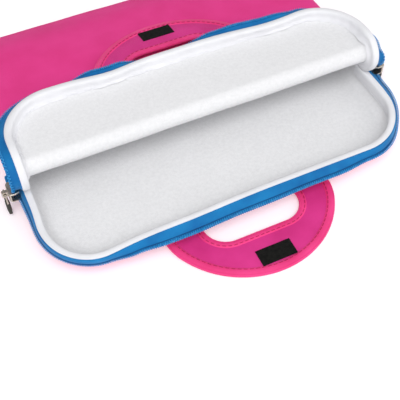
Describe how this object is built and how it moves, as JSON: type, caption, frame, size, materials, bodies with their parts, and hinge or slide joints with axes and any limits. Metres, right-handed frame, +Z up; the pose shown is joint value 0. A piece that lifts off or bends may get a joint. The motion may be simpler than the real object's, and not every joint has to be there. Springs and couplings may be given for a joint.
{
  "type": "tablet case",
  "caption": "Soft zip sleeve for a child's tablet: padded back tray, folded-back front flap with plush lining, zip with sliders on three sides, and a carry handle on each face.",
  "frame": {"origin": "on the flat underside, half way along the long side and 115 mm in from the outer face of the zipped side", "axes": "+X along the long side, +Y from the zipped side to the closed side, +Z up through the mouth"},
  "size_m": [0.2952, 0.2786, 0.0527],
  "materials": {
    "pink_neoprene": "smooth knit faced neoprene",
    "white_plush": "short brushed pile",
    "white_binding": "flat knit binding",
    "blue_tape": "woven zip tape",
    "blue_coil": "nylon coil",
    "nickel": "plated, worn bright",
    "black_rubber": "moulded, matt",
    "handle_foam": "foam core",
    "handle_face": "smooth knit",
    "handle_binding": "ribbed elastic binding",
    "thread": "running stitch",
    "black_hook": "hook tape",
    "black_loop": "loop tape"
  },
  "bodies": {
    "base": {"back_outer": "pink_neoprene", "back_lining": "white_plush", "back_binding": "white_binding", "back_zip_tape": "blue_tape", "back_zip_coil": "blue_coil", "front_outer": "pink_neoprene", "front_lining": "white_plush", "side_seam": "pink_neoprene", "zip_end_left": "pink_neoprene", "zip_end_right": "pink_neoprene", "handle_back_root": "handle_binding"},
    "fold_1": {"fold_1_outer": "pink_neoprene", "fold_1_lining": "white_plush"},
    "fold_2": {"fold_2_outer": "pink_neoprene", "fold_2_lining": "white_plush"},
    "fold_3": {"fold_3_outer": "pink_neoprene", "fold_3_lining": "white_plush"},
    "flap": {"flap_outer": "pink_neoprene", "flap_lining": "white_plush", "flap_binding": "white_binding", "flap_zip_tape": "blue_tape", "flap_zip_coil": "blue_coil", "handle_front_root": "handle_binding"},
    "handle_back": {"handle_back_foam": "handle_foam", "handle_back_face": "handle_face", "handle_back_backing": "handle_face", "handle_back_outer_binding": "handle_binding", "handle_back_grip_binding": "handle_binding", "handle_back_outer_stitch": "thread", "handle_back_grip_stitch": "thread", "handle_back_patch": "black_hook"},
    "handle_front": {"handle_front_foam": "handle_foam", "handle_front_face": "handle_face", "handle_front_backing": "handle_face", "handle_front_outer_binding": "handle_binding", "handle_front_grip_binding": "handle_binding", "handle_front_outer_stitch": "thread", "handle_front_grip_stitch": "thread", "handle_front_patch": "black_loop"},
    "slider_left": {"slider_left": "nickel"},
    "slider_right": {"slider_right": "nickel"},
    "pull_left": {"pull_link_left": "nickel", "pull_grip_left": "black_rubber"},
    "pull_right": {"pull_link_right": "nickel", "pull_grip_right": "black_rubber"}
  },
  "joints": [
    {"name": "fold_bend_1", "type": "hinge", "parent": "base", "child": "fold_1", "pos_m": [0, -0.046, 0.029], "axis": [1, 0, 0], "range_deg": [0, 45.5]},
    {"name": "fold_bend_2", "type": "hinge", "parent": "fold_1", "child": "fold_2", "pos_m": [0, -0.05038, 0.03346], "axis": [1, 0, 0], "range_deg": [0, 45.5]},
    {"name": "fold_bend_3", "type": "hinge", "parent": "fold_2", "child": "fold_3", "pos_m": [0, -0.05027, 0.03971], "axis": [1, 0, 0], "range_deg": [0, 45.5]},
    {"name": "flap_fold", "type": "hinge", "parent": "fold_3", "child": "flap", "pos_m": [0, -0.04574, 0.04401], "axis": [1, 0, 0], "range_deg": [0, 45.5]},
    {"name": "handle_back_bend", "type": "hinge", "parent": "base", "child": "handle_back", "pos_m": [0, -0.124, 0.0032], "axis": [1, 0, 0], "range_deg": [-90, 0]},
    {"name": "handle_front_bend", "type": "hinge", "parent": "flap", "child": "handle_front", "pos_m": [0, 0.01345, 0.04114], "axis": [-1, 0, 0], "range_deg": [-80, 0]},
    {"name": "slider_left_run", "type": "slide", "parent": "base", "child": "slider_left", "axis": [0, -1, 0], "range_m": [0, 0.025]},
    {"name": "pull_left_swing", "type": "hinge", "parent": "slider_left", "child": "pull_left", "pos_m": [-0.1456, -0.047, 0.0217], "axis": [0, 1, 0], "range_deg": [0, 90]},
    {"name": "slider_right_run", "type": "slide", "parent": "base", "child": "slider_right", "axis": [0, -1, 0], "range_m": [0, 0.025]},
    {"name": "pull_right_swing", "type": "hinge", "parent": "slider_right", "child": "pull_right", "pos_m": [0.1456, -0.047, 0.0217], "axis": [0, -1, 0], "range_deg": [0, 90]}
  ],
  "couplings": [
    {"joint": "fold_bend_1", "follows": "flap_fold", "ratio": 1},
    {"joint": "fold_bend_2", "follows": "flap_fold", "ratio": 1},
    {"joint": "fold_bend_3", "follows": "flap_fold", "ratio": 1}
  ]
}
